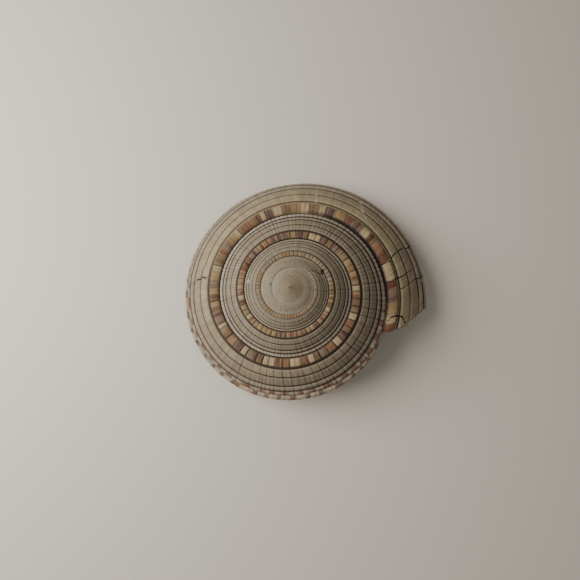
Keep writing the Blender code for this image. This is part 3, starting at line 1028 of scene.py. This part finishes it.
# %% Old damage drawn
CRACK_WANDER = 0.004
SPOT_CORE = 0.6
marks["pale"] = marks["crack"] = 0.0
wandering = {0: lines, 1: CRACK_WANDER, 2: marks["turn"]}
wandering = node("Math", wandering, operation="MULTIPLY_ADD")
for layer, half_width, path in DAMAGE:
    shares, degrees = zip(*path)
    low, span = min(degrees), max(degrees) - min(degrees)
    bent = node("FloatCurve", {"Value": marks["across"]})
    points = bent.mapping.curves[0].points
    points[0].location = (0, (degrees[0] - low) / span)
    points[1].location = (1, (degrees[-1] - low) / span)
    for share, degree in path:
        points.new(share, (degree - low) / span)
    bent.mapping.update()
    middle = {0: bent, 1: span / 360, 2: low / 360 + CRACK_WANDER / 2}
    middle = node("Math", middle, operation="MULTIPLY_ADD")
    near = {0: wandering, 1: middle, 2: half_width / 360}
    near = node("Math", near, operation="COMPARE")
    ends = {0: marks["across"], 1: (shares[0] + shares[-1]) / 2, 2: (shares[-1] - shares[0]) / 2}
    within = node("Math", ends, operation="COMPARE")
    marks[layer] = node("Math", {0: near, 1: within, 2: marks[layer]}, operation="MULTIPLY_ADD")
for layer, degree, share, radius in SPOTS:
    centre = [float(c) for c in spot_place(degree, share)]
    away = node("VectorMath", {0: place, 1: centre}, operation="DISTANCE").outputs["Value"]
    spot = {0: away, 1: SPOT_CORE * radius * MM, 2: radius * MM, 3: 1.0, 4: 0.0}
    spot = node("MapRange", spot)
    marks[layer] = node("Math", {0: marks[layer], 1: spot}, operation="ADD", use_clamp=True)
print(len(DAMAGE), "cracks and scars,", len(SPOTS), "spots")

# %% [markdown]
# The colours are laid over one another like coats, and noise tears the edge of each. Soft shades
# multiplied in at the end keep large areas from looking flat.

# %% Colours laid over one another
paint = node("RGB").outputs[0]
paint.default_value = linear(SMALL_WHORL)
blotches = node("Math", {0: pores, 1: streaks}, operation="ADD")
torn = node("Math", {0: blotches, 1: 1.0}, operation="SUBTRACT")
for name, colour, ragged in LAYERS:
    spread = {0: torn, 1: 2 * ragged, 2: marks[name]}
    spread = node("Math", spread, operation="MULTIPLY_ADD")
    mask = node("Math", {0: spread, 1: marks[name]}, operation="MULTIPLY", use_clamp=True)
    paint = node("Mix", {0: mask, 6: paint, 7: linear(colour)}, data_type="RGBA").outputs[2]
brightness = 1.0
# Noise, the part of its range that counts, and the brightness at both ends of that part.
for noise, low, high, dark, light in [
    (lines, 0.3, 0.7, 0.80, 1.14),
    (clouds, 0.3, 0.7, 0.92, 1.06),
    (streaks, 0.3, 0.7, 0.88, 1.12),
    (pores, 0.3, 0.6, 0.80, 1.06),
]:
    shade = node("MapRange", {0: noise, 1: low, 2: high, 3: dark, 4: light})
    brightness = node("Math", {0: brightness, 1: shade}, operation="MULTIPLY")
finished = node("VectorMath", {0: paint, 3: brightness}, operation="SCALE")
tree.links.new(finished.outputs[0], surface.inputs["Base Color"])
print(len(LAYERS), "colours, laid one over another")

# %% [markdown]
# Aragonite bends light by an index of about 1.53, and the default of 1.5 is near enough. The
# outside is worn dull, so it is rough and shines less than a fresh shell. The inside is smoother.
# Growth lines, pores and cracks also show as a slight bump.

# %% How the surface shines
WORN_ROUGHNESS, INSIDE_ROUGHNESS = 0.70, 0.25
WORN_SHINE = 0.25
CRACK_BUMP = -4.0
BUMP_HEIGHT = 0.06 * MM
BUMP_STRENGTH = 0.7
rough = {0: marks["inside"], 3: WORN_ROUGHNESS, 4: INSIDE_ROUGHNESS}
rough = node("MapRange", rough)
tree.links.new(rough.outputs[0], surface.inputs["Roughness"])
surface.inputs["Specular IOR Level"].default_value = WORN_SHINE
grain = node("Math", {0: lines, 1: pores}, operation="ADD")
grain = {0: marks["crack"], 1: CRACK_BUMP, 2: grain}
grain = node("Math", grain, operation="MULTIPLY_ADD")
bump = node("Bump", {"Height": grain, "Distance": BUMP_HEIGHT, "Strength": BUMP_STRENGTH})
tree.links.new(bump.outputs[0], surface.inputs["Normal"])
shell_mesh.materials.append(aragonite)

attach(sundial_shell, "root")
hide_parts("shell")
print("finish with", len(tree.nodes), "nodes")

# %% [markdown]
# ## The table
#
# The shell lies on a pale matt table top. One large flat square is enough, at the height of zero
# where the shell rests.

# %% The table
TABLE_HALF = 0.6
TABLE_COLOUR = "#bdb4a7"
TABLE_ROUGHNESS = 0.6
table_bm = bmesh.new()
bmesh.ops.create_grid(table_bm, x_segments=1, y_segments=1, size=TABLE_HALF)
table_mesh = bpy.data.meshes.new("table_top")
table_bm.to_mesh(table_mesh)
table_bm.free()
table_top = linked("table_top", table_mesh)
table_finish = bpy.data.materials.new("pale laminate")
table_finish.use_nodes = True
table_surface = table_finish.node_tree.nodes["Principled BSDF"]
table_surface.inputs["Base Color"].default_value = linear(TABLE_COLOUR)
table_surface.inputs["Roughness"].default_value = TABLE_ROUGHNESS
table_mesh.materials.append(table_finish)
print("table", 2 * TABLE_HALF, "m wide")

# %% [markdown]
# ## Light
#
# A window on the left gives the soft shadow on the right, and the room fills it in. A disk lamp
# stands for the window and an even world for the room.

# %% Light
ROOM_COLOUR = "#f4f2ee"
ROOM_LIGHT = 0.38
WINDOW_SIZE = 0.16
WINDOW_WATTS = 0.72
WINDOW_PLACE = Vector((-0.150, 0.024, 0.122))
world = bpy.data.worlds.new("soft room")
bpy.context.scene.world = world
world.use_nodes = True
background = world.node_tree.nodes["Background"].inputs
background["Color"].default_value = linear(ROOM_COLOUR)
background["Strength"].default_value = ROOM_LIGHT
lamp = bpy.data.lights.new("window", "AREA")
lamp.shape = "DISK"
lamp.size = WINDOW_SIZE
lamp.energy = WINDOW_WATTS
window = linked("window", lamp)
window_turn = WINDOW_PLACE.to_track_quat("Z", "Y").to_matrix().to_4x4()
window.matrix_world = Matrix.Translation(WINDOW_PLACE) @ window_turn
print("window", round(WINDOW_PLACE.length, 3), "m from the shell")

# %% [markdown]
# ## The camera
#
# The photograph was taken from close above with a wide lens. The camera is placed from what the
# picture shows: the pixel where the apex is, its distance, and how far the shell's own axis is
# turned away from the line of sight.

# %% The camera
PICTURE = 580
LENS_IN_PIXELS = 419
APEX_IN_PICTURE = (289.5, 287.0)
CAMERA_TO_APEX = 72.5 * MM
AXIS_SEEN_X = math.radians(-6.41)
AXIS_SEEN_Y = math.radians(-3.91)
SENSOR_MM = 36
NEAREST = 0.001
seen = Matrix.Rotation(AXIS_SEEN_X, 4, "X") @ Matrix.Rotation(AXIS_SEEN_Y, 4, "Y")
aim_x = (APEX_IN_PICTURE[0] - PICTURE / 2) / LENS_IN_PIXELS
aim_y = (APEX_IN_PICTURE[1] - PICTURE / 2) / LENS_IN_PIXELS
apex_seen = CAMERA_TO_APEX * Vector((aim_x, -aim_y, -1))
camera_data = bpy.data.cameras.new("camera")
camera_data.sensor_width = SENSOR_MM
camera_data.lens = SENSOR_MM * LENS_IN_PIXELS / PICTURE
camera_data.clip_start = NEAREST
camera = linked("camera", camera_data)
camera.matrix_world = Matrix.Translation(APEX) @ REST @ seen.inverted() @ Matrix.Translation(-apex_seen)
bpy.context.scene.camera = camera
print("camera at", [round(x / MM, 1) for x in camera.matrix_world.translation], "mm")
